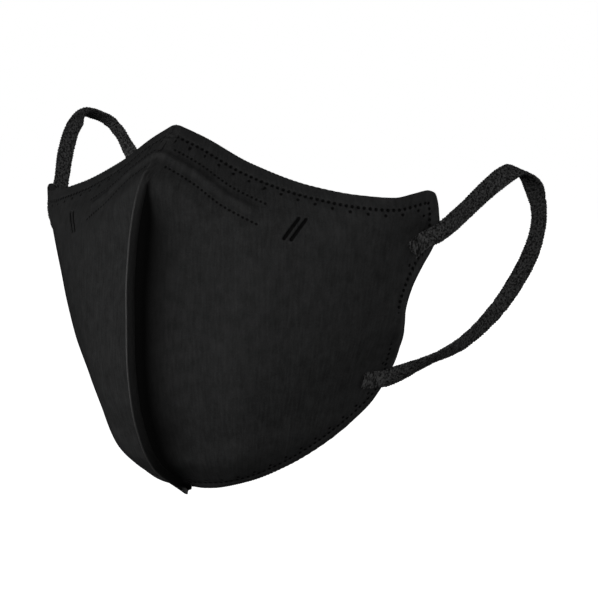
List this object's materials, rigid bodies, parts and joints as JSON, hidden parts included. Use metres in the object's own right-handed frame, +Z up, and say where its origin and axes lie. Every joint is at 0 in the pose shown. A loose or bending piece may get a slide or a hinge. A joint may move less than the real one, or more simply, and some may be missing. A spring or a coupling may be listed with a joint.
{
  "type": "disposable face mask",
  "caption": "Black centre-fold face mask with a beak-shaped shell, hidden nose wire, welded edges and two flat knitted ear loops.",
  "frame": {"origin": "middle of the opening, in the plane of the side edges, where the mask sits on a face", "axes": "+X towards the wearer's left ear, +Y towards the face, +Z up; the centre fold points along -Y"},
  "size_m": [0.2118, 0.1383, 0.1538],
  "materials": {
    "laminate": "matte charcoal nonwoven with fine vertical ribs",
    "weld": "pressed, slightly smooth",
    "wire": "bare, hidden in the laminate",
    "knit": "matte elastic knit with a fuzzy edge"
  },
  "bodies": {
    "root": {"panel_left": "laminate", "panel_right": "laminate", "centre_seam": "weld", "nose_wire": "wire", "ear_loop_left": "knit", "ear_loop_right": "knit"}
  },
  "joints": []
}
